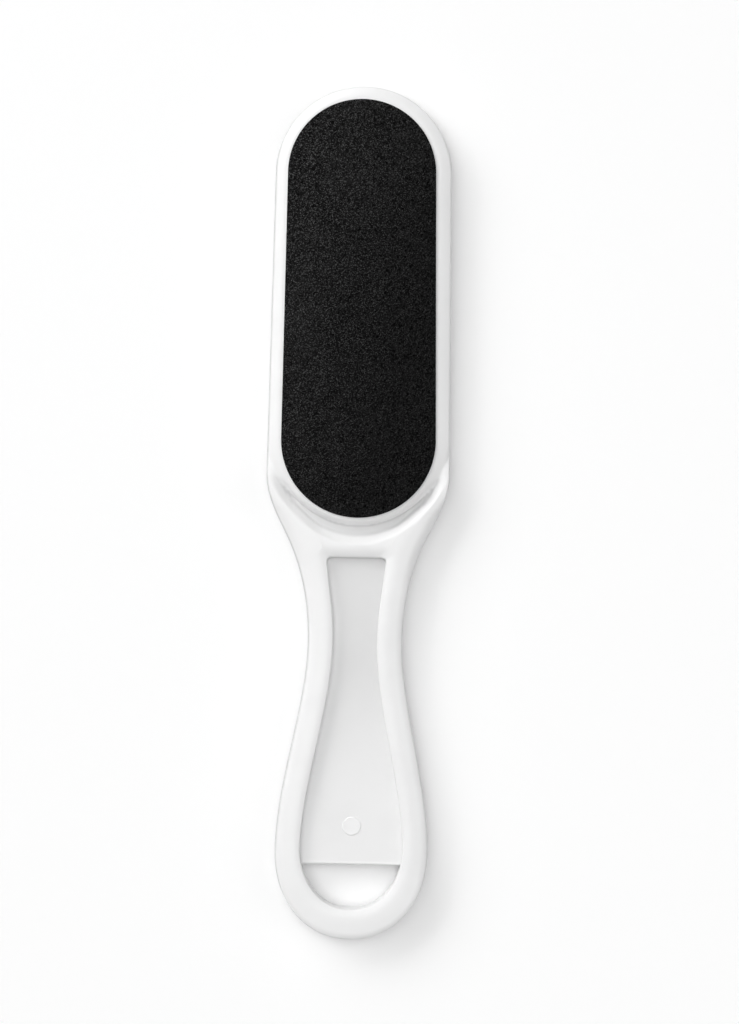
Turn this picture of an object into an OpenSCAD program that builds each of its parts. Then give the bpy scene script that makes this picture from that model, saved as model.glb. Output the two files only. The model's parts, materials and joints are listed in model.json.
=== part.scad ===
// Foot file: a moulded body with an abrasive sheet on each face of its head.
// +Y points from the handle's bow to the head's tip, +Z out of the front face.

/* [Head] */
// Length of the head, from its tip to its round end at the neck
head_len = 109.7; // [95:0.1:125]
// Width across the round end at the tip
tip_w = 43.4; // [38:0.1:48]
// Width across the round end at the neck
neck_w = 45; // [40:0.1:50]
// Thickness of the head's moulding
head_t = 6.8; // [6:0.1:9]
// Width of the sloping band round each face of the head
slope_w = 2.5; // [1:0.1:3]
// Fall of that band
slope_fall = 1.15; // [0.5:0.05:2]
// Radius where that band turns into the head's side
edge_r = 0.8; // [0.3:0.1:1.2]

/* [Handle] */
// Length of the handle, from the head's round end to the end of the bow
handle_len = 100.3; // [85:0.1:120]
// Distance along the head's side over which the shoulders leave it
shoulder_len = 14; // [12:0.1:20]
// Distance from the head's round end to the waist
waist_at = 26.9; // [20:0.1:34]
// Width across the waist
waist_w = 23.3; // [20:0.1:28]
// Width across the bulb
bulb_w = 37.7; // [32:0.1:44]
// Distance from the bulb's widest place to the end of the bow
bow_len = 21.6; // [17:0.1:26]
// Width of the rails
rail_w = 6.25; // [5:0.05:8]
// Extra width of the rails beside the top of the window
rail_flare = 1.05; // [0:0.05:1.5]
// Distance down the rails over which that extra width runs out
flare_len = 10; // [6:0.5:14]
// Width of the bow at its end
bow_w = 7.65; // [5:0.05:9]
// Depth of the rails' crests below the head's face
crest_drop = 0.15; // [0.05:0.05:1]

/* [Neck] */
// Distance from the head's round end to the top edge of the window
window_at = 6.3; // [5:0.1:8]
// Width of the crossbar over the window
crossbar_w = 6.9; // [6.5:0.05:8]
// Sag of the crossbar at its middle
crossbar_sag = 0.25; // [0:0.05:1]
// Radius of the window's corners
corner_r = 1.2; // [0.5:0.1:2]
// Thickness of the deck between the shoulders
deck_t = 5.2; // [3:0.1:6]

/* [Web] */
// Thickness of the web that fills the loop
web_t = 1; // [0.8:0.1:2]
// Distance from the web's edge to the inside of the bow
hole_len = 10.75; // [7:0.05:14]
// Diameter of the ejector's mark
mark_d = 4.6; // [3:0.1:6]
// Height of the ejector's mark above the web
mark_rise = 0.15; // [0.1:0.05:0.4]
// Distance from the web's edge to the middle of the mark
mark_at = 9.5; // [5:0.1:20]

/* [Abrasive sheets] */
// Distance from the head's outline to the edge of a sheet
sheet_margin = 3.55; // [3:0.05:5]
// Sideways shift of the front sheet on the head
sheet_shift = -0.25; // [-0.3:0.05:0.3]
// Turn of the front sheet on the head, in degrees
sheet_turn = 0.3; // [-0.4:0.05:0.4]
// Thickness of the adhesive film
adhesive_t = 0.12; // [0.05:0.01:0.2]
// Thickness of the backing
backing_t = 0.3; // [0.2:0.01:0.5]
// Thickness of the coarse grain coat on the front
coarse_t = 0.3; // [0.2:0.01:0.5]
// Thickness of the fine grain coat on the rear
fine_t = 0.2; // [0.1:0.01:0.4]

/* [Hidden] */
$fn = 96;

// Places along the length, with zero at the middle of the whole file
file_len = head_len + handle_len;
tip_y = file_len / 2;
head_end_y = tip_y - head_len;
tip_centre_y = tip_y - tip_w / 2;
neck_centre_y = head_end_y + neck_w / 2;
shoulder_y = head_end_y + shoulder_len;
waist_y = head_end_y - waist_at;
bow_end_y = -file_len / 2;
bulb_y = bow_end_y + bow_len;
web_edge_y = bow_end_y + bow_w + hole_len;
window_y = head_end_y - window_at;

// Tilt of the head's straight sides, which widen from the tip to the neck
side_tilt = asin((neck_w - tip_w) / 2 / (tip_centre_y - neck_centre_y));

// Slope of the band round the head's faces, and the height where its rounding starts
slope_angle = atan(slope_fall / slope_w);
edge_centre_z = head_t / 2 - edge_r * cos(slope_angle)
    - (slope_w - edge_r * (1 - sin(slope_angle))) * tan(slope_angle);
edge_steps = 3;
end_steps = 48;

// Height of the mid-plane, which puts the rear grain coat on the resting plane
mid_z = head_t / 2 + adhesive_t + backing_t + fine_t;

// Rails, with a full oval section whose crest lies below the head's face
rail_h = head_t - 2 * crest_drop;
rail_sides = 16;
// Fullness of that section, where 2 is an ellipse
rail_power = 4;
side_steps = 40;
bow_steps = 24;
root_steps = 4;
crossbar_steps = 12;
// Knots that the half width passes: shares of the length and of the change in width, and the slope
shoulder_knot_shares = [0.337, 0.58, 1.95];
belly_knot_shares = [0.51, 0.474, 1.435];
// Fullness of the bow's outline, where 2 is an ellipse
bow_power = 2.1;
// Shares of the rail's width and height that are left at its root inside the head
root_width_share = 0.35;
root_height_share = 0.7;

// Cubic from a to b over a span of 1, leaving at slope m and arriving at slope n
function cubic(a, b, m, n, t) =
    a * (2 * pow(t, 3) - 3 * pow(t, 2) + 1)
    + b * (3 * pow(t, 2) - 2 * pow(t, 3))
    + m * (pow(t, 3) - 2 * pow(t, 2) + t)
    + n * (pow(t, 3) - pow(t, 2));

// Fall from 1 to 0 over a span of 1, level at both ends and passing one knot
function fall(t, knot) = t < knot[0]
    ? cubic(1, knot[1], 0, -knot[2] * knot[0], t / knot[0])
    : cubic(knot[1], 0, -knot[2] * (1 - knot[0]), 0, (t - knot[0]) / (1 - knot[0]));

// Half width of the head's straight side, carried on below its round end
function side_x(y) = neck_w / 2 / cos(side_tilt) + (neck_centre_y - y) * tan(side_tilt);

// Half width of the handle's outline, from the shoulders down to the end of the bow
function handle_x(y) =
    y > shoulder_y ? side_x(y)
    : y > waist_y ? waist_w / 2 + (side_x(shoulder_y) - waist_w / 2)
        * fall((shoulder_y - y) / (shoulder_y - waist_y), shoulder_knot_shares)
    : y > bulb_y ? bulb_w / 2 - (bulb_w - waist_w) / 2
        * fall((waist_y - y) / (waist_y - bulb_y), belly_knot_shares)
    : bulb_w / 2 * pow(1 - pow((bulb_y - y) / bow_len, bow_power), 1 / bow_power);

// Width of the rail at a place along the length, widest just below the window's top edge
flare_y = window_y - corner_r;
function rail_width(y) =
    let (share = y < flare_y
        ? 1 - (flare_y - y) / flare_len
        : 1 - (y - flare_y) / (shoulder_y - flare_y))
    rail_w + rail_flare * pow(max(share, 0), 2);

// Half width to the middle of the rail
function rail_x(y) = handle_x(y) - rail_w / 2;

// Point on the bow's outline at an angle below the bulb
function bow_point(a) = [
    bulb_w / 2 * sign(cos(a)) * pow(abs(cos(a)), 2 / bow_power),
    bulb_y - bow_len * pow(sin(a), 2 / bow_power)
];

// Width of the bar at an angle round the bow
function bow_width(a) = rail_w + (bow_w - rail_w) * sin(a);

// Points of one side, mirrored and taken the other way
function flip(points) = [for (i = [len(points) - 1:-1:0]) [-points[i][0], points[i][1]]];
function backwards(values) = [for (i = [len(values) - 1:-1:0]) values[i]];

// Unit vector square to a line of points at one of them, to the right of its way
function across(points, i) =
    let (
        before = points[max(i - 1, 0)],
        after = points[min(i + 1, len(points) - 1)],
        along = (after - before) / norm(after - before)
    )
    [along[1], -along[0]];

// Outline of the loop, from the right root round the bow to the left root
root_shares = [for (i = [0:root_steps - 1]) i / root_steps];
root_points = [
    for (t = root_shares)
        let (y = neck_centre_y + (shoulder_y - neck_centre_y) * t) [handle_x(y), y]
];
side_points = [
    for (i = [0:side_steps])
        let (y = shoulder_y + (bulb_y - shoulder_y) * i / side_steps) [handle_x(y), y]
];
bow_points = [for (i = [1:bow_steps - 1]) bow_point(180 * i / bow_steps)];
half_points = concat(root_points, side_points);
loop_points = concat(half_points, bow_points, flip(half_points));

// Width and height of the bar at each point of that outline
half_widths = concat(
    [for (t = root_shares) rail_w * (root_width_share + (1 - root_width_share) * t)],
    [for (p = side_points) rail_width(p[1])]
);
half_heights = concat(
    [for (t = root_shares) rail_h * (root_height_share + (1 - root_height_share) * t)],
    [for (p = side_points) rail_h]
);
bow_widths = [for (i = [1:bow_steps - 1]) bow_width(180 * i / bow_steps)];
loop_widths = concat(half_widths, bow_widths, backwards(half_widths));
loop_heights = concat(half_heights, [for (p = bow_points) rail_h], backwards(half_heights));
loop_middles = [
    for (i = [0:len(loop_points) - 1])
        loop_points[i] + across(loop_points, i) * loop_widths[i] / 2
];

// Middle line of the crossbar, from the middle of one rail to the middle of the other
crossbar_y = window_y + crossbar_w / 2;
crossbar_middles = [
    for (i = [0:crossbar_steps])
        let (t = 2 * i / crossbar_steps - 1)
        [rail_x(crossbar_y) * t, crossbar_y - crossbar_sag * (1 - pow(t, 2))]
];

// Share of the section's half width or half height at a sine or cosine
function lobe(c) = sign(c) * pow(abs(c), 2 / rail_power);

// Solid through a row of rings that have the same number of points
module loft(rings) {
    n = len(rings[0]);
    last = len(rings) - 1;
    walls = [
        for (i = [0:last - 1])
            for (j = [0:n - 1])
                let (
                    a = i * n + j,
                    b = i * n + (j + 1) % n,
                    c = b + n,
                    d = a + n
                )
                each [[a, b, c], [a, c, d]]
    ];
    first_end = [for (j = [n - 1:-1:0]) j];
    last_end = [for (j = [0:n - 1]) last * n + j];
    polyhedron([for (ring = rings) each ring], concat(walls, [first_end, last_end]), convexity = 6);
}

// Bar with a section of its own width and height at each point of its middle line
module bar(middles, widths, heights) {
    loft([
        for (i = [0:len(middles) - 1])
            let (side = across(middles, i))
            [
                for (j = [0:rail_sides - 1])
                    let (a = 360 * j / rail_sides)
                    [
                        middles[i][0] + side[0] * widths[i] / 2 * lobe(cos(a)),
                        middles[i][1] + side[1] * widths[i] / 2 * lobe(cos(a)),
                        heights[i] / 2 * lobe(sin(a))
                    ]
            ]
    ]);
}

// Slab with the plan of the head, drawn in by an inset
module head_slab(inset, thickness) {
    tip_r = tip_w / 2 - inset;
    neck_r = neck_w / 2 - inset;
    translate([0, tip_centre_y, 0]) cylinder(r = tip_r, h = thickness);
    translate([0, neck_centre_y, 0]) cylinder(r = neck_r, h = thickness);
    linear_extrude(thickness)
        polygon([
            [tip_r * cos(side_tilt), tip_centre_y + tip_r * sin(side_tilt)],
            [neck_r * cos(side_tilt), neck_centre_y + neck_r * sin(side_tilt)],
            [-neck_r * cos(side_tilt), neck_centre_y + neck_r * sin(side_tilt)],
            [-tip_r * cos(side_tilt), tip_centre_y + tip_r * sin(side_tilt)]
        ]);
}

// What a rounding of radius r leaves outside it in a square corner
module outside_rounding(r) {
    difference() {
        square(2 * r);
        circle(r);
    }
}

// Points on a round end of the head, over a span of angles
function end_arc(radius, centre_y, start, span, z) = [
    for (i = [0:end_steps])
        let (a = start + span * i / end_steps)
        [radius * cos(a), centre_y + radius * sin(a), z]
];

// Plan of the head at a height, drawn in by an inset
function head_ring(inset, z) = concat(
    end_arc(tip_w / 2 - inset, tip_centre_y, side_tilt, 180 - 2 * side_tilt, z),
    end_arc(neck_w / 2 - inset, neck_centre_y, 180 - side_tilt, 180 + 2 * side_tilt, z)
);

// Inset and height down the front half of the head's edge: face, sloping band, rounding
edge_levels = concat(
    [[slope_w, head_t / 2]],
    [
        for (i = [edge_steps:-1:0])
            let (a = (90 - slope_angle) * i / edge_steps)
            [edge_r * (1 - cos(a)), edge_centre_z + edge_r * sin(a)]
    ]
);

module head() {
    loft(concat(
        [for (level = edge_levels) head_ring(level[0], level[1])],
        [for (level = backwards(edge_levels)) head_ring(level[0], -level[1])]
    ));
}

// Loop handle: two rails that leave the head at the shoulders and meet in the bow
module loop_handle() {
    bar(loop_middles, loop_widths, loop_heights);
}

// Crossbar that closes the window under the head
module crossbar() {
    bar(
        crossbar_middles,
        [for (p = crossbar_middles) crossbar_w],
        [for (p = crossbar_middles) rail_h - crest_drop]
    );
}

// Flat wall between the middles of the rails, over a stretch of the length
module wall(top_y, low_y, thickness) {
    right = [
        for (i = [0:side_steps])
            let (y = top_y + (low_y - top_y) * i / side_steps) [rail_x(y), y]
    ];
    linear_extrude(thickness, center = true) polygon(concat(right, flip(right)));
}

// Rounding in a corner of the window
module window_corner() {
    x = handle_x(window_y - corner_r) - rail_width(window_y - corner_r) - corner_r;
    translate([x, window_y - corner_r, 0])
        linear_extrude(deck_t, center = true) outside_rounding(corner_r);
}

// Round mark of the mould's ejector on the front of the web
module ejector_mark() {
    translate([0, web_edge_y + mark_at, 0]) cylinder(d = mark_d, h = web_t / 2 + mark_rise);
}

module moulded_body() {
    color("white")
        translate([0, 0, mid_z])
            union() {
                head();
                loop_handle();
                crossbar();
                wall(shoulder_y, crossbar_y, deck_t);
                wall(crossbar_y, web_edge_y, web_t);
                window_corner();
                mirror([1, 0, 0]) window_corner();
                ejector_mark();
            }
}

// Layer of a sheet, which starts at a height over the head's face
module layer(start, thickness) {
    translate([0, 0, head_t / 2 + start]) head_slab(sheet_margin, thickness);
}

// Front sheet's place, shifted and turned a little as it was laid by hand
module on_front() {
    middle_y = (tip_centre_y + neck_centre_y) / 2;
    translate([sheet_shift, middle_y, mid_z])
        rotate([0, 0, sheet_turn])
            translate([0, -middle_y, 0]) children();
}

// Rear sheet's place, face down
module on_rear() {
    translate([0, 0, mid_z]) mirror([0, 0, 1]) children();
}

module front_adhesive() {
    color("gainsboro") on_front() layer(0, adhesive_t);
}

module front_backing() {
    color("dimgray") on_front() layer(adhesive_t, backing_t);
}

module front_grit() {
    color("#1b1b1b") on_front() layer(adhesive_t + backing_t, coarse_t);
}

module rear_adhesive() {
    color("gainsboro") on_rear() layer(0, adhesive_t);
}

module rear_backing() {
    color("dimgray") on_rear() layer(adhesive_t, backing_t);
}

module rear_grit() {
    color("#262626") on_rear() layer(adhesive_t + backing_t, fine_t);
}

moulded_body();
front_adhesive();
front_backing();
front_grit();
rear_adhesive();
rear_backing();
rear_grit();
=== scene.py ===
import json
import math
import random

import bmesh
import bpy
import numpy as np
from mathutils import Matrix, Vector

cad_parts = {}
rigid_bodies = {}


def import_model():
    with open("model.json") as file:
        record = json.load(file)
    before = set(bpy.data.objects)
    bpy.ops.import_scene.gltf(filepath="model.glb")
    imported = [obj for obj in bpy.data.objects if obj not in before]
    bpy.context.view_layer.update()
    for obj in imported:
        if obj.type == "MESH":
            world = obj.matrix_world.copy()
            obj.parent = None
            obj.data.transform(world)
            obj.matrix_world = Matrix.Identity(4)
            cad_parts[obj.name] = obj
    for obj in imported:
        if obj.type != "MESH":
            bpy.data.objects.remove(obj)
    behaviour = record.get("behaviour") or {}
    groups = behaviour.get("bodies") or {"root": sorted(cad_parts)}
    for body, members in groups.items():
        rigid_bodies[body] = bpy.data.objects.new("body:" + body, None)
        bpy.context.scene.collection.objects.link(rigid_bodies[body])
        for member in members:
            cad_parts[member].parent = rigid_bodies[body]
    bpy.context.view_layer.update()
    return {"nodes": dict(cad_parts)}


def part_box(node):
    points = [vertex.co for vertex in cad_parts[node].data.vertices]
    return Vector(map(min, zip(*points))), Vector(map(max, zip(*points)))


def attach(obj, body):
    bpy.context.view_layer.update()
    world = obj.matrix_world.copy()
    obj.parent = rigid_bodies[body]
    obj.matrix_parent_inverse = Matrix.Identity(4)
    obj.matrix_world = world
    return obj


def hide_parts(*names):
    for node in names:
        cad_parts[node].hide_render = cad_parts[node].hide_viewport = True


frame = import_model()
nodes = frame["nodes"]
mm = 0.001
print("frame loaded:", len(nodes), "nodes")

# The camera looks straight down, and the file leans a little to the right in its view
camera = dict(x=2.96, y=0.3, height=704.0, lean=1.085, lens=99.88)

cameraData = bpy.data.cameras.new("viewCamera")
cameraData.lens = camera["lens"]
cameraObject = bpy.data.objects.new("viewCamera", cameraData)
cameraObject.location = (camera["x"] * mm, camera["y"] * mm, camera["height"] * mm)
cameraObject.rotation_euler = (0, 0, math.radians(camera["lean"]))
bpy.context.scene.collection.objects.link(cameraObject)
bpy.context.scene.camera = cameraObject
print("camera placed")


class Wire:
    # a socket of a material's nodes, which adds Math nodes when it is used in a sum
    def __init__(self, finish, socket):
        self.finish = finish
        self.socket = socket

    def sum(self, operation, *values):
        return self.finish.node("ShaderNodeMath", dict(operation=operation), *values)

    def __add__(self, other):
        return self.sum("ADD", self, other)

    def __radd__(self, other):
        return self.sum("ADD", other, self)

    def __sub__(self, other):
        return self.sum("SUBTRACT", self, other)

    def __rsub__(self, other):
        return self.sum("SUBTRACT", other, self)

    def __mul__(self, other):
        return self.sum("MULTIPLY", self, other)

    def __rmul__(self, other):
        return self.sum("MULTIPLY", other, self)

    def __pow__(self, other):
        return self.sum("POWER", self, other)

    def clamped(self):
        return self.finish.node("ShaderNodeClamp", {}, self)


class Finish:
    # a material, with one method for any node
    def __init__(self, name):
        self.material = bpy.data.materials.new(name)
        self.material.use_nodes = True
        self.tree = self.material.node_tree
        self.tree.nodes.clear()
        self.place = self.node("ShaderNodeTexCoord", {}, output="Object")

    def node(self, kind, settings, *values, output=0, **named):
        # positional values go to the sockets in their order, named ones by name with _ for a space
        made = self.tree.nodes.new(kind)
        for key, value in settings.items():
            setattr(made, key, value)
        byName = [(key.replace("_", " "), value) for key, value in named.items()]
        for key, value in [*enumerate(values), *byName]:
            if isinstance(value, Wire):
                self.tree.links.new(value.socket, made.inputs[key])
            else:
                made.inputs[key].default_value = value
        return Wire(self, made.outputs[output]) if made.outputs else None

    def along(self, axis):
        return self.node("ShaderNodeSeparateXYZ", {}, self.place, output=axis)

    def attribute(self, name):
        return self.node("ShaderNodeAttribute", dict(attribute_name=name), output="Fac")

    def noise(self, scale, detail):
        return self.node("ShaderNodeTexNoise", {}, Vector=self.place, Scale=scale, Detail=detail,
                         output="Fac")

    def bump(self, height, distance, strength=1.0):
        return self.node("ShaderNodeBump", {}, Strength=strength, Distance=distance, Height=height)

    def surface(self, **sockets):
        shader = self.node("ShaderNodeBsdfPrincipled", {}, **sockets)
        self.node("ShaderNodeOutputMaterial", {}, shader)
        return self.material


def mixColours(finish, share, first, second):
    # blend of two colours, each a tuple or a Wire
    made = finish.tree.nodes.new("ShaderNodeMix")
    made.data_type = "RGBA"
    wanted = (("Factor", "VALUE", share), ("A", "RGBA", first), ("B", "RGBA", second))
    for name, kind, value in wanted:
        socket = next(s for s in made.inputs if s.name == name and s.type == kind)
        if isinstance(value, Wire):
            finish.tree.links.new(value.socket, socket)
        else:
            socket.default_value = value
    return Wire(finish, next(s for s in made.outputs if s.type == "RGBA"))


def grey(level):
    return (level, level, level, 1.0)


def addPiece(shape, name, material, smooth=True):
    mesh = bpy.data.meshes.new(name)
    shape.to_mesh(mesh)
    shape.free()
    piece = bpy.data.objects.new(name, mesh)
    bpy.context.scene.collection.objects.link(piece)
    mesh.materials.append(material)
    for face in mesh.polygons:
        face.use_smooth = smooth
    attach(piece, "root")
    return piece


def addTone(piece, name, values):
    # a number for each vertex, which the material reads
    tone = piece.data.attributes.new(name, "FLOAT", "POINT")
    tone.data.foreach_set("value", values.astype(np.float32))


# White plastic, with painted shade where it is thin and along its rim, and the faint mottle and
# grain of a moulded skin. Depth is how far light goes into it, in millimetres.
plastic = dict(
    white=0.89, thinShadeWhite=0.735, rimShadeWhite=0.64, roughness=0.35, depth=0.08,
    mottleScale=90.0, mottleShare=0.06, mottleShade=0.55, mottleEdge=4.0, mottleRoughness=0.25,
    skinScale=420.0, skinHeight=0.00001, skinStrength=0.5,
)


def makePlastic():
    finish = Finish("whitePlastic")
    mottle = finish.noise(plastic["mottleScale"], 4.0)
    skin = finish.noise(plastic["skinScale"], 3.0)
    thinShade, rim = finish.attribute("paintedThinShade"), finish.attribute("paintedRimShade")
    # painted shade: the thin web and the crease take a darker white, for the light the thin plastic
    # lets through and the shade of the trough and the crease
    white = mixColours(finish, thinShade, grey(plastic["white"]), grey(plastic["thinShadeWhite"]))
    # painted shade: the rim takes a greyer white, most where it faces up and left towards the lamps
    white = mixColours(finish, rim, white, grey(plastic["rimShadeWhite"]))
    dull = mixColours(finish, plastic["mottleShare"], white, grey(plastic["mottleShade"]))
    mottled = ((mottle - 0.5) * plastic["mottleEdge"]).clamped()
    return finish.surface(
        Base_Color=mixColours(finish, mottled, white, dull),
        Roughness=plastic["roughness"] + (mottle - 0.5) * plastic["mottleRoughness"],
        Subsurface_Weight=1.0, Subsurface_Radius=(1.0, 1.0, 1.0),
        Subsurface_Scale=plastic["depth"] * mm,
        Normal=finish.bump(skin, plastic["skinHeight"], plastic["skinStrength"]))


whitePlastic = makePlastic()

# Sizes of the moulded body in millimetres, as in the part's source. A knot is a share of a fall's
# length, the level there and the slope there.
body = dict(
    headLength=109.7, tipWidth=43.4, neckWidth=45.0, headThickness=6.8,
    slopeWidth=2.5, slopeFall=1.15, edgeRadius=0.8,
    handleLength=100.3, shoulderLength=14.0, waistAt=26.9, waistWidth=23.3, bulbWidth=37.7,
    bowLength=21.6, bowPower=2.1, railWidth=6.25, bowWidth=7.65, crestDrop=0.15,
    shoulderKnot=(0.337, 0.58, 1.95), bellyKnot=(0.51, 0.474, 1.435),
    windowAt=6.3, cornerRadius=1.4, cornerFlare=1.1, flareEnd=-23.0, flareLength=10.0,
    webThickness=1.0, webBlend=0.3, holeLength=10.75, edgeRounding=0.3, bead=0.09,
    ridge=0.14, ridgeHalf=0.16, draft=0.06,  # parting ridge round the middle, and the sides' lean
)

# Section of the rails: the crest's place, the roof outside it and the fall inside it
rail = dict(
    crestShare=0.65, crestAtHead=1.2, riseStart=-3.0, riseLength=15.0,
    crestLow=0.05, crestLowStart=1.0, shoulderLow=0.1, shoulderLowStart=9.0,
    roofSlope=0.14, roofSoft=0.3, roofTurn=0.16, roofTurnStart=2.2,
    bowTurn=12.0, bowFlatter=0.45, bowTurnShift=0.9,
    innerFall=0.55, innerReach=2.3, footSteep=0.25, footFall=3.0, rounding=0.35, wallSteep=12.0,
)
crossbar = dict(
    crest=3.5, radius=6.2, sag=0.25, sagWidth=12.0, rise=0.02, lean=0.03,
    endRise=0.05, endSteep=0.25, blend=0.9, windowSteep=30.0,
)

# Crease between the head and the handle, with angles in degrees from the handle's middle line
crease = dict(
    lip=0.06, lipStart=0.25, lipWidth=0.3, lipBlend=0.25,
    inset=2.8, fall=0.7, step=1.1, stepSteep=4.0, neckRange=9.0, blend=0.25,
    wallStart=3.0, wallCurve=1.6, curveStart=5.0, curveLength=42.0,
    foot=0.2, footCurve=1.0, footAngle=45.0,
    wallHeight=2.9, wallPower=1.2, fadeStart=48.0, fadeLength=24.0,
)

tipY = (body["headLength"] + body["handleLength"]) / 2
headEndY = tipY - body["headLength"]
tipCentreY = tipY - body["tipWidth"] / 2
neckCentreY = headEndY + body["neckWidth"] / 2
shoulderY = headEndY + body["shoulderLength"]
waistY = headEndY - body["waistAt"]
bulbY = -tipY + body["bowLength"]
webEdgeY = -tipY + body["bowWidth"] + body["holeLength"]
windowY = headEndY - body["windowAt"]
sideTilt = math.asin((body["neckWidth"] - body["tipWidth"]) / 2 / (tipCentreY - neckCentreY))
faceHeight = body["headThickness"] / 2
crestHeight = faceHeight - body["crestDrop"]
bodyLow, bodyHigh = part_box("moulded_body")
midZ = (bodyLow.z + bodyHigh.z) / 2 / mm


def cubic(a, b, m, n, t):
    return (a * (2 * t**3 - 3 * t**2 + 1) + b * (3 * t**2 - 2 * t**3)
            + m * (t**3 - 2 * t**2 + t) + n * (t**3 - t**2))


def fall(t, knot):
    share, level, slope = knot
    if t < share:
        return cubic(1, level, 0, -slope * share, t / share)
    return cubic(level, 0, -slope * (1 - share), 0, (t - share) / (1 - share))


def sideX(y):
    # half width of the head between its two round ends
    return body["neckWidth"] / 2 / math.cos(sideTilt) + (neckCentreY - y) * math.tan(sideTilt)


def outlineX(y):
    # half width of the outline from the head's side down to the bulb
    waist, bulb = body["waistWidth"] / 2, body["bulbWidth"] / 2
    if y > shoulderY:
        return sideX(y)
    if y > waistY:
        share = (shoulderY - y) / (shoulderY - waistY)
        return waist + (sideX(shoulderY) - waist) * fall(share, body["shoulderKnot"])
    return bulb - (bulb - waist) * fall((waistY - y) / (waistY - bulbY), body["bellyKnot"])


def tipStation(angle):
    # place on the outline, way inwards and width of the bar, at an angle from the tip
    s, c, r = math.sin(angle), math.cos(angle), body["tipWidth"] / 2
    return r * s, tipCentreY + r * c, -s, -c, body["railWidth"]


def sideStation(y):
    step = 0.05
    slope = (outlineX(y + step) - outlineX(y - step)) / (2 * step)
    length = math.hypot(slope, 1)
    # the rails widen towards the crossbar
    flare = min(max((y - body["flareEnd"]) / body["flareLength"], 0), 1)
    width = body["railWidth"] + body["cornerFlare"] * flare * flare
    return outlineX(y), y, -1 / length, slope / length, width


def bowStation(angle):
    power, half, deep = body["bowPower"], body["bulbWidth"] / 2, body["bowLength"]
    c, s = math.cos(angle), math.sin(angle)
    x, down = half * max(c, 0) ** (2 / power), deep * s ** (2 / power)
    nx, ny = x ** (power - 1) / half**power, -(down ** (power - 1)) / deep**power
    length = math.hypot(nx, ny)
    width = body["railWidth"] + (body["bowWidth"] - body["railWidth"]) * s
    return x, bulbY - down, -nx / length, -ny / length, width


def bowAngleOfInside(y):
    # angle at which the inside of the bow has a height y, found by halving
    low, high = 0.0, math.pi / 2
    for _ in range(40):
        middle = (low + high) / 2
        _, outlineY, _, ny, width = bowStation(middle)
        low, high = (middle, high) if outlineY + ny * width > y else (low, middle)
    return low


def smoothMax(a, b, k):
    overlap = np.maximum(k - np.abs(a - b), 0) / k
    return np.maximum(a, b) + overlap * overlap * k / 4


def roundedEdge(s, r):
    # how far a quarter round of radius r lies below its top at a distance s from the wall
    return r - np.sqrt(np.maximum(r * r - np.clip(r - s, 0, r) ** 2, 0))


def soft(t):
    t = np.clip(t, 0, 1)
    return t * t * (3 - 2 * t)


def headHeight(x, y):
    # half thickness of the head, from the distance in from its outline
    r1, r2, h = body["neckWidth"] / 2, body["tipWidth"] / 2, tipCentreY - neckCentreY
    b = (r1 - r2) / h
    a = math.sqrt(1 - b * b)
    py = y - neckCentreY
    k = -b * x + a * py
    atTip = np.where(k > a * h, np.hypot(x, py - h) - r2, a * x + b * py - r1)
    outside = np.where(k < 0, np.hypot(x, py) - r1, atTip)
    depth = -outside - body["ridge"] - body["draft"]

    slope = math.atan2(body["slopeFall"], body["slopeWidth"])
    r = body["edgeRadius"]
    turn = r * (1 - math.sin(slope))
    centre = faceHeight - (body["slopeWidth"] - turn) * math.tan(slope) - r * math.cos(slope)
    band = faceHeight - (body["slopeWidth"] - depth) * math.tan(slope)
    beyond = depth - body["slopeWidth"] - crease["lipStart"]
    lip = crease["lip"] * (1 - np.exp(-((beyond / crease["lipWidth"]) ** 2)))
    top = -smoothMax(-band, lip - faceHeight, crease["lipBlend"])
    arc = centre + np.sqrt(np.maximum(r * r - (r - np.clip(depth, 0, r)) ** 2, 0))
    side = np.where(depth < turn, arc, top)
    side = np.where(depth < 0, centre + rail["wallSteep"] * depth, side)

    # at the neck the face rounds over into the crease
    over = np.maximum(crease["inset"] - depth, 0)
    neck = (faceHeight - lip - crease["fall"] * over * over
            - crease["stepSteep"] * np.maximum(over - crease["step"], 0))
    return side + (neck - side) * soft((crease["neckRange"] - y) / crease["neckRange"])


def railHeight(y, q, width):
    # half thickness of the rails at a distance q inside the outline
    rise = soft((y - rail["riseStart"]) / rail["riseLength"])
    crest = rail["crestShare"] * width * (1 - rise) + rail["crestAtHead"] * rise
    top = (crestHeight - rail["crestLow"] * np.maximum(y - rail["crestLowStart"], 0)
           - rail["shoulderLow"] * np.maximum(y - rail["shoulderLowStart"], 0))
    outward, inward = np.maximum(crest - q, 0), np.maximum(q - crest, 0)
    bow = soft((bulbY - y) / rail["bowTurn"])
    slope = rail["roofSlope"] * (1 - rail["bowFlatter"] * bow)
    turned = np.maximum(outward - rail["roofTurnStart"] - rail["bowTurnShift"] * bow, 0)
    roof = (slope * (np.sqrt(outward**2 + rail["roofSoft"] ** 2) - rail["roofSoft"])
            + rail["roofTurn"] * turned**2)
    inner = rail["innerFall"] * (1 - np.exp(-((inward / rail["innerReach"]) ** 3)))
    foot = np.minimum(rail["footSteep"] * np.maximum(q - width, 0) ** 2, rail["footFall"])
    return top, top - roof - inner - foot


def crossbarHeight(x, y, q, width, top):
    across = np.clip(x / crossbar["sagWidth"], 0, 1)
    off = y - (windowY + crossbar["crest"] - crossbar["sag"] * (1 - across**2))
    r = crossbar["radius"]
    arc = r - np.sqrt(np.maximum(r * r - off**2, 0.01))
    height = crestHeight + crossbar["rise"] - np.where(off < 0, arc, crossbar["lean"] * off**2)
    end = top + crossbar["endRise"] - crossbar["endSteep"] * np.maximum(width - q, 0)
    return np.where(q < width, np.minimum(height, end), height)


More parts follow.
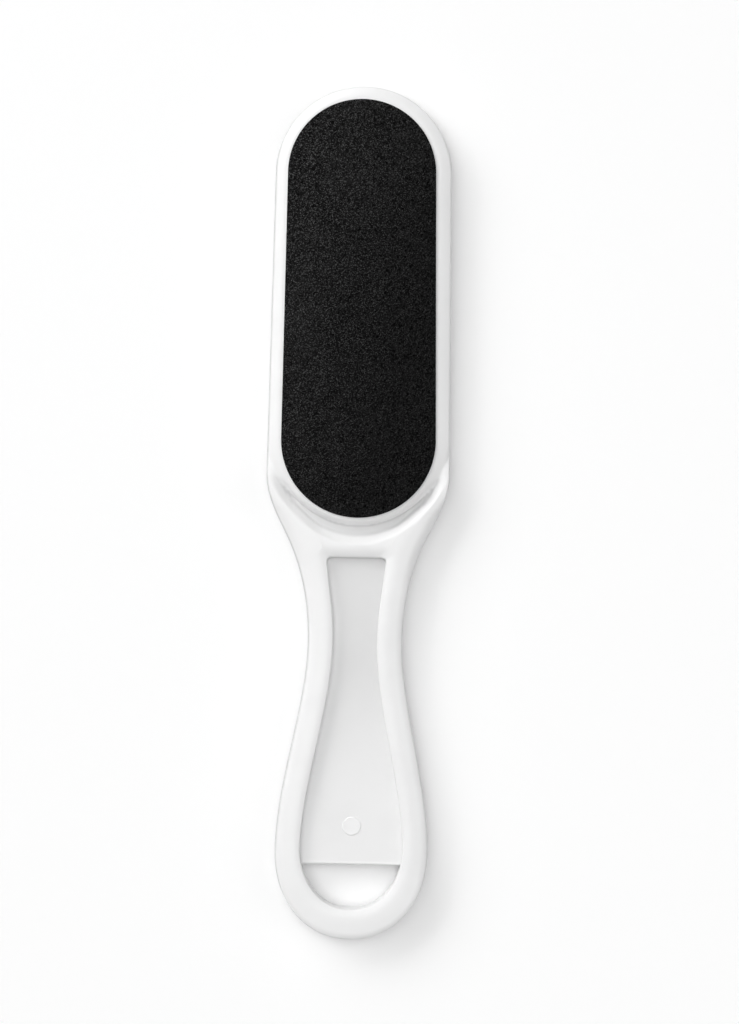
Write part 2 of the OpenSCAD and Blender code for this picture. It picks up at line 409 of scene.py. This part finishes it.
def creaseDepth(x, y):
    # the handle's side of the crease, a rounded wall along the head's round end
    around = np.hypot(x, y - neckCentreY)
    turned = np.degrees(np.arctan2(np.abs(x), neckCentreY - y))
    curve = soft((turned - crease["curveStart"]) / crease["curveLength"])
    start = body["neckWidth"] / 2 + crease["wallStart"] - crease["wallCurve"] * curve
    foot = (body["neckWidth"] / 2 + crease["foot"]
            - crease["footCurve"] * soft(turned / crease["footAngle"]))
    short = np.maximum(start - around, 0) / (start - foot)
    fade = 1 - soft((turned - crease["fadeStart"]) / crease["fadeLength"])
    return crease["wallHeight"] * short ** crease["wallPower"] * fade


def bodyHeight(x, y, q, width, web):
    # half thickness of the body at a place that lies q inside its outline
    top, handle = railHeight(y, q, width)
    handle = smoothMax(handle, crossbarHeight(x, y, q, width, top), crossbar["blend"])
    handle = handle - creaseDepth(x, y)

    # rounded edges along the outline and round the window
    a, b = q - width, windowY - y
    r = body["cornerRadius"]
    inCorner = (a < r) & (b < r)
    inWindow = np.where(inCorner, r - np.hypot(r - a, r - b), np.minimum(a, b))
    outer = q - body["ridge"] - body["draft"]
    handle = handle - roundedEdge(outer, rail["rounding"])
    handle = handle - roundedEdge(-inWindow, rail["rounding"])
    handle = handle + rail["wallSteep"] * np.minimum(outer, 0)
    handle = handle - crossbar["windowSteep"] * np.maximum(inWindow, 0)

    height = smoothMax(handle, headHeight(x, y), crease["blend"])
    height = np.where(web > 0, smoothMax(height, web, body["webBlend"]), np.maximum(height, 0))
    return np.minimum(height, faceHeight)


# Rows and columns of the body's mesh, closest at the neck. A stretch is where it ends and its rows.
grid = dict(
    tip=30, head=30, neckStart=16.0, stretches=((-10.5, 82), (-15.5, 38), (-20.0, 12)),
    rails=58, web=5, bow=38, outer=22, inner=18, filling=34, crowding=1.4,
)
# The web's edge has a fine bead, as pairs of distance and share of its height, and then rounds over
webEdge = dict(
    start=1.0, bead=((0.8, 0.1), (0.65, 0.6), (0.5, 1.0), (0.38, 1.0), (0.27, 0.6)),
    rounding=(0.55, 0.25, 0.06, 0.0),
)


def bodyStations():
    # rows down the outline: station, web's height at its inner end, and whether the web reaches it
    rows = []
    webTop = body["webThickness"] / 2

    def add(station, web=webTop, filled=True):
        rows.append((*station, web, filled))

    for i in range(grid["tip"]):
        add(tipStation((math.pi / 2 - sideTilt) * i / grid["tip"]))
    high = grid["neckStart"]
    for y in np.linspace(tipCentreY, high, grid["head"]):
        add(sideStation(y))
    for low, count in (*grid["stretches"], (bulbY, grid["rails"])):
        for y in np.linspace(high, low, count + 1)[1:]:
            add(sideStation(y))
        high = low
    for inside in np.linspace(bulbY, webEdgeY + webEdge["start"], grid["web"])[1:]:
        add(bowStation(bowAngleOfInside(inside)))
    for inside, lift in webEdge["bead"]:
        add(bowStation(bowAngleOfInside(webEdgeY + inside)), webTop + body["bead"] * lift)
    r = body["edgeRounding"]
    for share in webEdge["rounding"]:
        add(bowStation(bowAngleOfInside(webEdgeY + r * share)),
            webTop - r + r * math.sqrt(1 - (1 - share) ** 2))
    start = bowAngleOfInside(webEdgeY)
    add(bowStation(start), 0.0)
    for angle in np.linspace(start, math.pi / 2, grid["bow"])[1:]:
        add(bowStation(angle), 0.0, False)
    return rows


def placeGrid(shape, columns, rows, places):
    # grid patch whose vertices go to places[row, column]
    made = bmesh.ops.create_grid(shape, x_segments=columns - 1, y_segments=rows - 1, size=1.0)
    ordered = sorted(made["verts"], key=lambda v: (round(v.co.y, 5), round(v.co.x, 5)))
    for vertex, place in zip(ordered, places.reshape(-1, 3)):
        vertex.co = place


def bodyPlaces():
    # places of a quarter of the body's vertices: the band along its outline, and what it encloses
    rows = bodyStations()
    table = np.array([row[:6] for row in rows])
    px, py, nx, ny, width, web = (table[:, i:i + 1] for i in range(6))
    one = np.ones_like(px)
    before, beyond = width - 0.001, width + 0.1  # on either side of the rail's inner wall
    ridge, ridgeHalf = body["ridge"], body["ridgeHalf"]
    lean = ridge + body["draft"]

    # columns across the band: parting ridge, outer part of the rail, inner part and its wall
    outerTurns = np.radians(np.linspace(0, 90, grid["outer"])[1:])
    innerTurns = np.radians(np.linspace(90, 0, grid["inner"])[1:])
    crest = rail["crestShare"] * width
    outerQ = lean + (crest - lean) * (1 - np.cos(outerTurns) ** (2 / 3))
    innerQ = width - (width - crest) * (1 - np.cos(innerTurns) ** (2 / 3))
    q = np.hstack([outerQ, innerQ])
    height = bodyHeight(px + nx * q, py + ny * q, np.minimum(q, before), width, web)
    wallFoot = bodyHeight(px + nx * width, py + ny * width, beyond, width, web)
    wallTop = bodyHeight(px + nx * lean, py + ny * lean, lean + 0 * one, width, web)
    ridgePlaces = [place * one for place in (0, 0, 0.4 * ridge, ridge, (ridge + lean) / 2, lean)]
    ridgeLevels = [level * ridgeHalf * one for level in (0, 0.7, 1, 1.15)]
    q = np.hstack([*ridgePlaces, q, width])
    height = np.hstack([*ridgeLevels, 0.5 * wallTop, wallTop, height, wallFoot])
    band = np.dstack([np.minimum(px + nx * q, bodyHigh.x / mm), py + ny * q, height])

    # columns from the inner end of the band to the middle line
    filled = np.array([row[6] for row in rows])
    shares = np.linspace(0, 1, grid["filling"]) ** grid["crowding"]
    ix, iy = (px + nx * width)[filled], (py + ny * width)[filled]
    x = ix * (1 - shares)
    y = iy + 0 * x
    q = beyond[filled] + ix * shares * np.abs(nx[filled])
    height = bodyHeight(x, y, q, width[filled], web[filled])
    height[:, 0] = band[filled][:, -1, 2]
    return band, np.dstack([x, y, height])


# Tones over the body, with lengths in millimetres, which paint light and shade. Painted shade
# darkens the thin web and the crease, for the light that the thin plastic lets through and the
# shade in the trough and the crease. It lightens towards the hole, and painted light lifts it
# beside the left rail, whose shadow falls on the web. Painted shade greys the rim, most where it
# faces up and left towards the lamps.
tones = dict(
    thinBelow=1.6, thinRange=0.7, thinInset=0.9, thinPast=1.0, thinEnd=14.0, thinFade=5.0,
    holeShare=0.75, holeStart=-30.0, holeLength=45.0, leftRailLight=1.4, railReach=1.5,
    rimInset=0.6, rimFade=0.35, rimLeast=0.35, rimMore=0.65, left=-0.77, up=0.64, bowDepth=20.0,
)


def toneBody(piece):
    places = np.zeros(len(piece.data.vertices) * 3)
    piece.data.vertices.foreach_get("co", places)
    x, y, z = places.reshape(-1, 3).T / mm
    low = np.abs(z - midZ)

    # distance inside the outline, and how far the outline there faces up and left
    outline = np.array([outlineX(v) for v in np.clip(y, bulbY, grid["neckStart"])])
    beyond = y - np.clip(y, bulbY, tipCentreY)
    facing = (tones["left"] * x + tones["up"] * beyond) / np.maximum(np.hypot(x, beyond), 0.01)
    facing = np.where(beyond == 0, tones["left"] * np.sign(x), facing)
    power, half, deep = body["bowPower"], body["bulbWidth"] / 2, body["bowLength"]
    bow = ((np.abs(x) / half) ** power + (np.abs(beyond) / deep) ** power) ** (1 / power)
    inset = np.where(beyond < 0, tones["bowDepth"] * (1 - bow), outline - np.abs(x))
    inset = np.where(beyond > 0, body["tipWidth"] / 2 - np.hypot(x, beyond), inset)
    inset = np.where((y > shoulderY) & (beyond == 0), sideX(y) - np.abs(x), inset)

    # painted shade on the thin web and on the crease's floor, which lie near the middle plane
    thinShade = np.clip((tones["thinBelow"] - low) / tones["thinRange"], 0, 1)
    thinShade = thinShade * (inset > tones["thinInset"]) * (y > webEdgeY - tones["thinPast"])
    thinShade = thinShade * soft((tones["thinEnd"] - y) / tones["thinFade"])
    # the painted shade grows lighter towards the hole
    thinShade = thinShade * (1 - tones["holeShare"] * soft((tones["holeStart"] - y) / tones["holeLength"]))
    # painted light beside the left rail's inner wall, which fills the shadow that this rail casts
    # on the web
    fromRail = np.maximum(x + outline - body["railWidth"], 0) / tones["railReach"]
    thinShade = thinShade * (1 - tones["leftRailLight"] * (y < windowY) * np.exp(-(fromRail**2)))
    addTone(piece, "paintedThinShade", thinShade)

    # painted shade along the rim, stronger where the outline faces up and left
    rim = np.clip((tones["rimInset"] - inset) / tones["rimFade"], 0, 1)
    addTone(piece, "paintedRimShade", rim * np.clip(tones["rimLeast"] + tones["rimMore"] * facing, 0, 1))


def makeBody():
    shape = bmesh.new()
    for places in bodyPlaces():
        placeGrid(shape, places.shape[1], places.shape[0], places)
    bmesh.ops.remove_doubles(shape, verts=shape.verts, dist=0.002)
    for axis in "XZ":
        bmesh.ops.mirror(shape, geom=shape.verts[:] + shape.edges[:] + shape.faces[:],
                         matrix=Matrix(), merge_dist=0.002, axis=axis)
    bmesh.ops.dissolve_degenerate(shape, edges=shape.edges, dist=0.001)
    bmesh.ops.recalc_face_normals(shape, faces=shape.faces)
    bmesh.ops.translate(shape, verts=shape.verts, vec=(0, 0, midZ))
    bmesh.ops.scale(shape, verts=shape.verts, vec=(mm, mm, mm))
    gaps = sum(not edge.is_manifold for edge in shape.edges)
    print("body:", len(shape.verts), "vertices,", len(shape.faces), "faces,", gaps, "open edges")
    piece = addPiece(shape, "mouldedBody", whitePlastic)
    toneBody(piece)
    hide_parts("moulded_body")


makeBody()

# Mark of the mould's ejector pin, a low disc with a soft ring on the front of the web. A ring's
# places are measured inwards from the disc's edge.
mark = dict(
    diameter=4.6, rise=0.15, dish=0.018, ringFoot=0.5, ringInside=0.28, ringOutside=0.12,
    edge=0.02, fall=0.05, fromEdge=9.5, sides=64,
)


def makeMark():
    r, top = mark["diameter"] / 2, body["webThickness"] / 2 + mark["rise"]
    profile = [
        (0, top - mark["dish"]), (r - mark["ringFoot"], top - mark["dish"]),
        (r - mark["ringInside"], top), (r - mark["ringOutside"], top),
        (r - mark["edge"], top - mark["fall"]), (r, top - mark["rise"] - mark["fall"]),
        (r, 0), (0, 0),
    ]
    shape = bmesh.new()
    line = [shape.verts.new((x, 0, z)) for x, z in profile]
    edges = [shape.edges.new(pair) for pair in zip(line, line[1:])]
    bmesh.ops.spin(shape, geom=line + edges, cent=(0, 0, 0), axis=(0, 0, 1), angle=2 * math.pi,
                   steps=mark["sides"], use_merge=True)
    bmesh.ops.remove_doubles(shape, verts=shape.verts, dist=0.001)
    bmesh.ops.recalc_face_normals(shape, faces=shape.faces)
    bmesh.ops.translate(shape, verts=shape.verts, vec=(0, webEdgeY + mark["fromEdge"], midZ))
    bmesh.ops.scale(shape, verts=shape.verts, vec=(mm, mm, mm))
    addPiece(shape, "ejectorMark", whitePlastic)


makeMark()
print("moulded body and ejector mark made")

# Abrasive sheets, in millimetres: their place on the head, and the grid that the grain starts from.
# A vertex strays by a share of a cell and drops by a share of the grain's depth.
sheets = dict(
    margin=3.55, shift=-0.25, turn=0.3, width=40, length=105, along=0.2, cell=0.27,
    stray=0.3, leastDrop=0.4, edgeDrop=0.3, seed=7,
)
coarse = dict(finish="coarseGrit", slot="coarse_grit", depth=0.2, peaks=0.16,
              dark=0.0006, light=0.02, sheened=0.085)
fine = dict(finish="fineGrit", slot="fine_grit", depth=0.1, peaks=0.1,
            dark=0.008, light=0.05, sheened=0.07)


def sheetDepth(x, y):
    # distance in from a sheet's edge, and the way out to it
    r1 = body["neckWidth"] / 2 - sheets["margin"]
    r2 = body["tipWidth"] / 2 - sheets["margin"]
    h = tipCentreY - neckCentreY
    b = (r1 - r2) / h
    a = math.sqrt(1 - b * b)
    side, py = (1 if x >= 0 else -1), y - neckCentreY
    k = -b * abs(x) + a * py
    if k < 0:
        length = math.hypot(x, py) or 1.0
        return r1 - length, x / length, py / length
    if k > a * h:
        length = math.hypot(x, py - h) or 1.0
        return r2 - length, x / length, (py - h) / length
    return r1 - (a * abs(x) + b * py), side * a, b


def roughen(shape, edge, depth, peaks):
    # grains: vertices stray sideways and drop, apart from the peaks
    stray = sheets["cell"] * sheets["stray"]
    least = sheets["leastDrop"]
    chance = random.Random(sheets["seed"])
    for vertex in shape.verts:
        if vertex not in edge:
            vertex.co.x += stray * (chance.random() - 0.5) * 2
            vertex.co.y += stray * (chance.random() - 0.5) * 2
            peak = chance.random() < peaks
            vertex.co.z = -depth * (0.0 if peak else least + (1 - least) * chance.random())


def makeGrit(name, node, grain, upward, turn=0.0, shift=0.0):
    low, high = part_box(node)
    cell, middle = sheets["cell"], (tipCentreY + neckCentreY) / 2
    columns, rows = int(sheets["width"] / cell), int(sheets["length"] / cell)
    shape = bmesh.new()
    bmesh.ops.create_grid(shape, x_segments=columns, y_segments=rows, size=0.5)
    bmesh.ops.scale(shape, verts=shape.verts, vec=(columns * cell, rows * cell, 1))
    bmesh.ops.translate(shape, verts=shape.verts, vec=(0, middle + sheets["along"], 0))

    # vertices more than half a cell outside the sheet go, and the outermost move onto its edge
    outer = [v for v in shape.verts if sheetDepth(v.co.x, v.co.y)[0] < -0.5 * cell]
    bmesh.ops.delete(shape, geom=outer, context="VERTS")
    edge = {v for v in shape.verts if v.is_boundary}
    for vertex in edge:
        inset, nx, ny = sheetDepth(vertex.co.x, vertex.co.y)
        vertex.co.x += nx * inset
        vertex.co.y += ny * inset
        vertex.co.z = -sheets["edgeDrop"] * grain["depth"]
    roughen(shape, edge, grain["depth"], grain["peaks"])
    bmesh.ops.remove_doubles(shape, verts=shape.verts, dist=0.01)

    # walls and floor
    border = [e for e in shape.edges if e.is_boundary]
    made = bmesh.ops.extrude_edge_only(shape, edges=border)["geom"]
    for vertex in (g for g in made if isinstance(g, bmesh.types.BMVert)):
        vertex.co.z = -(high.z - low.z) / mm
    bmesh.ops.holes_fill(shape, edges=[e for e in shape.edges if e.is_boundary], sides=0)
    bmesh.ops.recalc_face_normals(shape, faces=shape.faces)

    if not upward:
        bmesh.ops.rotate(shape, verts=shape.verts, cent=(0, 0, 0),
                         matrix=Matrix.Rotation(math.pi, 3, "Y"))
    bmesh.ops.rotate(shape, verts=shape.verts, cent=(0, middle, 0),
                     matrix=Matrix.Rotation(math.radians(turn), 3, "Z"))
    bmesh.ops.translate(shape, verts=shape.verts,
                        vec=(shift, 0, (high.z if upward else low.z) / mm))
    bmesh.ops.scale(shape, verts=shape.verts, vec=(mm, mm, mm))
    print(name, len(shape.faces), "faces")
    piece = addPiece(shape, name, makeGritFinish(grain), smooth=False)
    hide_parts(node)


# Near-black grain with a fine sparkle, and painted sheen that lightens it towards the left of the
# tip
gritLook = dict(
    cellScale=4900.0, contrast=5.0, patchScale=60.0, patchShare=0.15, sheenDark=3,
    sheenAlong=6.0, sheenAcross=24.0, sheenLevel=0.05, roughness=0.15, sparkle=0.2, gleam=0.055,
)


def makeGritFinish(grain):
    finish = Finish(grain["finish"])
    speck = finish.node("ShaderNodeTexVoronoi", {}, Vector=finish.place,
                        Scale=gritLook["cellScale"], output="Color")
    tone = finish.node("ShaderNodeSeparateColor", {}, speck, output="Red")
    patch = finish.noise(gritLook["patchScale"], 3.0)
    grains = (tone ** gritLook["contrast"] + (patch - 0.5) * gritLook["patchShare"]).clamped()
    # painted sheen: the grain lightens towards the tip and towards the left side
    paintedSheen = (finish.along("Y") * gritLook["sheenAlong"] - finish.along("X") * gritLook["sheenAcross"]
             + gritLook["sheenLevel"]).clamped()
    plainGrain = mixColours(finish, grains, grey(grain["dark"]), grey(grain["light"]))
    sheenDark = grey(grain["dark"] * gritLook["sheenDark"])
    # the grain's tones under the painted sheen, lighter than the plain ones
    sheened = mixColours(finish, grains, sheenDark, grey(grain["sheened"]))
    return finish.surface(
        Base_Color=mixColours(finish, paintedSheen, plainGrain, sheened),
        Roughness=gritLook["roughness"] + (tone - 0.5) * gritLook["sparkle"],
        Specular_IOR_Level=gritLook["gleam"])


makeGrit("frontGrit", "front_grit", coarse, True, sheets["turn"], sheets["shift"])
makeGrit("rearGrit", "rear_grit", fine, False)
print("abrasive sheets made")


# Backing paper and adhesive film, which show at the sheets' edges
paper = dict(dark=0.012, light=0.035, fibreScale=900.0, fibreHeight=0.00003,
             roughness=0.7, unevenness=0.2)
film = dict(dark=0.45, light=0.62, cloudScale=300.0, roughness=0.5, unevenness=0.3)


def makeBacking():
    finish = Finish("sheetBacking")
    fibre = finish.noise(paper["fibreScale"], 4.0)
    return finish.surface(
        Base_Color=mixColours(finish, fibre, grey(paper["dark"]), grey(paper["light"])),
        Roughness=paper["roughness"] + (fibre - 0.5) * paper["unevenness"],
        Normal=finish.bump(fibre, paper["fibreHeight"]))


def makeAdhesive():
    finish = Finish("adhesiveFilm")
    cloud = finish.noise(film["cloudScale"], 3.0)
    return finish.surface(
        Base_Color=mixColours(finish, cloud, grey(film["dark"]), grey(film["light"])),
        Roughness=film["roughness"] + (cloud - 0.5) * film["unevenness"])


backing, adhesive = makeBacking(), makeAdhesive()
for name, material in (("front_backing", backing), ("rear_backing", backing),
                       ("front_adhesive", adhesive), ("rear_adhesive", adhesive)):
    nodes[name].data.materials.clear()
    nodes[name].data.materials.append(material)
print("backing and adhesive finished")

# Floor and light. The floor's glow evens out the lamps' fall-off, and shows to the camera and in
# reflections only. A lamp is its place and size in metres, and its power.
studio = dict(
    floorShade=0.93, floorHalf=3.0, floorDrop=0.00005, room=0.04,
    glow=0.15, glowLevel=0.48, glowAcross=1.03, glowAlong=1.2,
)
lamps = dict(
    left=((-1.59, 0.58, 0.9), (1.6, 0.9), 7.9),
    behind=((-1.0, 1.37, 0.9), (1.6, 0.9), 15.9),
    upperLeft=((-1.06, 0.74, 1.55), (1.4, 1.4), 9.5),
    right=((1.5, 0.1, 1.3), (1.6, 1.4), 9.5),
    front=((0.1, -1.5, 1.3), (1.6, 1.4), 5.7),
    above=((-0.1, 0.1, 1.9), (1.4, 1.4), 12.9),
)


def makeFloorFinish():
    finish = Finish("floorWhite")
    direct, glossy, through = (finish.node("ShaderNodeLightPath", {}, output=kind) for kind in
                               ("Is Camera Ray", "Is Glossy Ray", "Is Transmission Ray"))
    seen = (direct + glossy + through).clamped()
    level = (finish.along("X") * studio["glowAcross"] - finish.along("Y") * studio["glowAlong"]
             + studio["glowLevel"]).clamped()
    diffuse = finish.node("ShaderNodeBsdfDiffuse", {}, grey(studio["floorShade"]))
    glow = finish.node("ShaderNodeEmission", {}, mixColours(finish, level, grey(0.0), grey(1.0)),
                       seen * studio["glow"])
    both = finish.node("ShaderNodeAddShader", {}, diffuse, glow)
    finish.node("ShaderNodeOutputMaterial", {}, both)
    return finish.material


def makeFloor():
    shape = bmesh.new()
    bmesh.ops.create_grid(shape, x_segments=1, y_segments=1, size=studio["floorHalf"])
    bmesh.ops.translate(shape, verts=shape.verts, vec=(0, 0, -studio["floorDrop"]))
    mesh = bpy.data.meshes.new("floor")
    shape.to_mesh(mesh)
    shape.free()
    mesh.materials.append(makeFloorFinish())
    floor = bpy.data.objects.new("floor", mesh)
    bpy.context.scene.collection.objects.link(floor)


def addLamp(name, place, size, power):
    data = bpy.data.lights.new(name, "AREA")
    data.shape = "RECTANGLE"
    data.size, data.size_y = size
    data.energy = power
    lamp = bpy.data.objects.new(name, data)
    lamp.location = place
    lamp.rotation_euler = (-Vector(place)).to_track_quat("-Z", "Y").to_euler()
    bpy.context.scene.collection.objects.link(lamp)


makeFloor()
for name, (place, size, power) in lamps.items():
    addLamp(name + "Lamp", place, size, power)
world = bpy.data.worlds.new("room")
world.use_nodes = True
world.node_tree.nodes["Background"].inputs["Color"].default_value = grey(1.0)
world.node_tree.nodes["Background"].inputs["Strength"].default_value = studio["room"]
bpy.context.scene.world = world
bpy.context.scene.view_settings.view_transform = "Standard"
print("floor and lamps placed")
